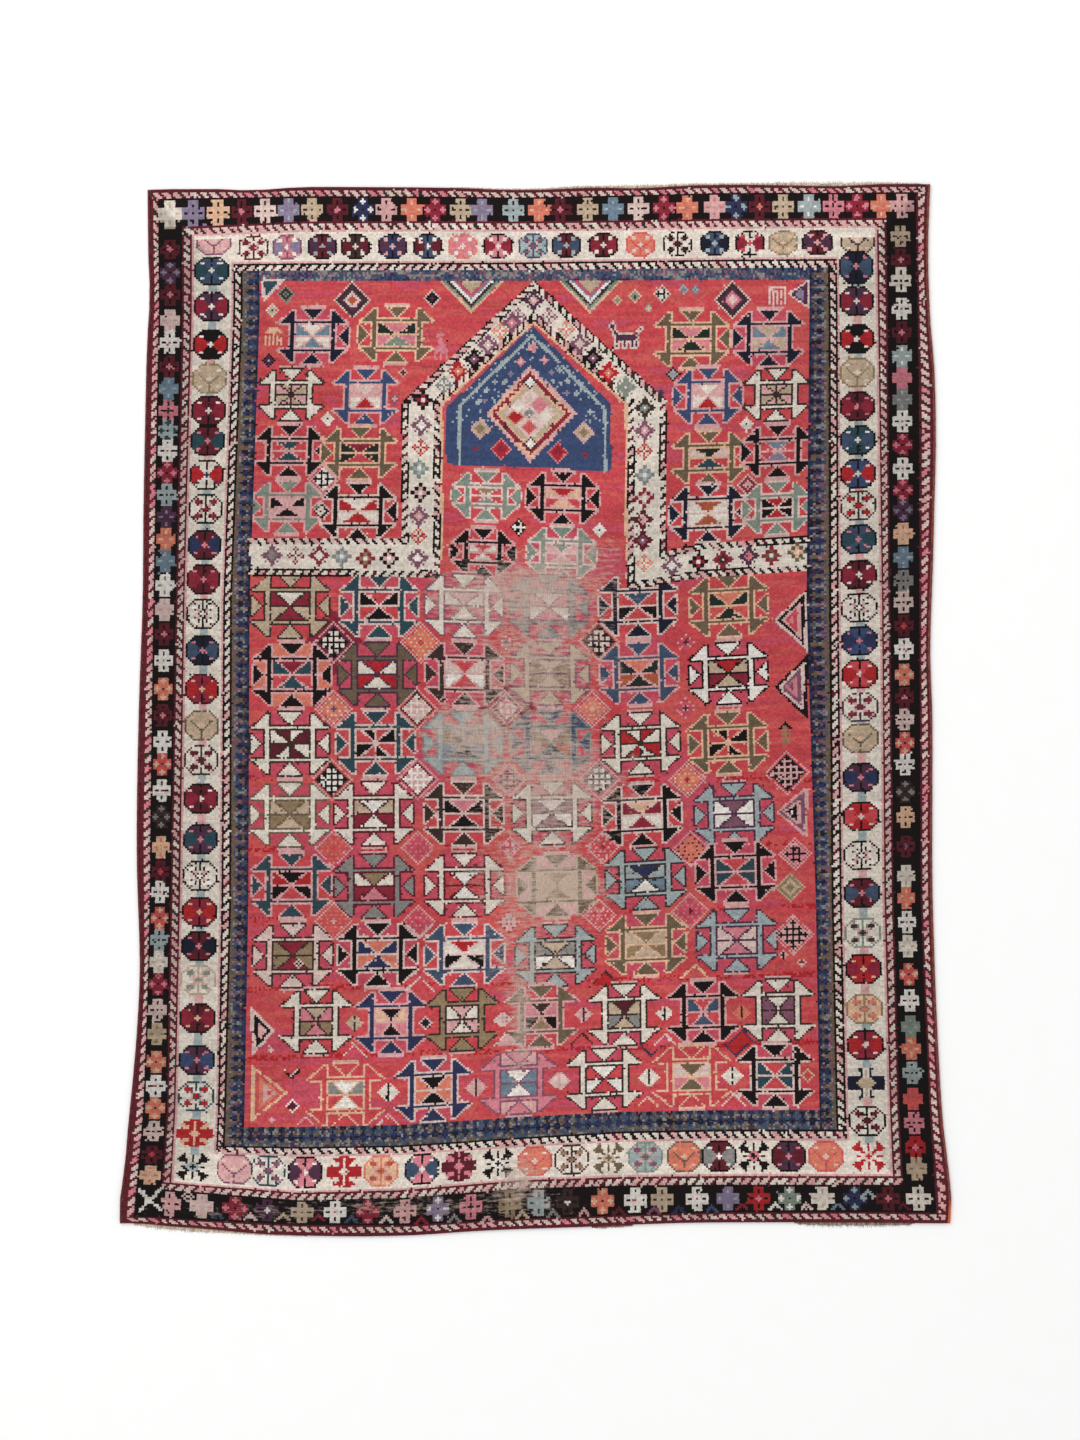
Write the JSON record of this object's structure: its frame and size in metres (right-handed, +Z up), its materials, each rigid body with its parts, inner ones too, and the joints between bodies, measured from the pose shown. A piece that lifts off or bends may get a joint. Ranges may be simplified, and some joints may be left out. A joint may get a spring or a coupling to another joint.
{
  "type": "hand-knotted prayer rug laid flat",
  "caption": "Old hand-knotted wool prayer rug lying flat, with a niche, patterned borders, overcast sides and ragged woven ends.",
  "frame": {"origin": "on the floor under the middle of the rug's outline", "axes": "+X to the right and +Y towards the niche end as seen from above, +Z up"},
  "size_m": [1.1742, 1.4924, 0.0055],
  "materials": {
    "pile_wool": "worn matt wool pile in red, navy, cream and brown-black",
    "side_cord_wool": "overcast dark brown-red wool yarn",
    "end_web_warps": "undyed ivory and grey-brown warps, frayed"
  },
  "bodies": {
    "root": {"knotted_pile": "pile_wool", "side_cord_left": "side_cord_wool", "side_cord_right": "side_cord_wool", "niche_end_web": "end_web_warps", "foot_end_web_left": "end_web_warps", "foot_end_tuft": "side_cord_wool", "foot_end_web_right": "end_web_warps"}
  },
  "joints": []
}
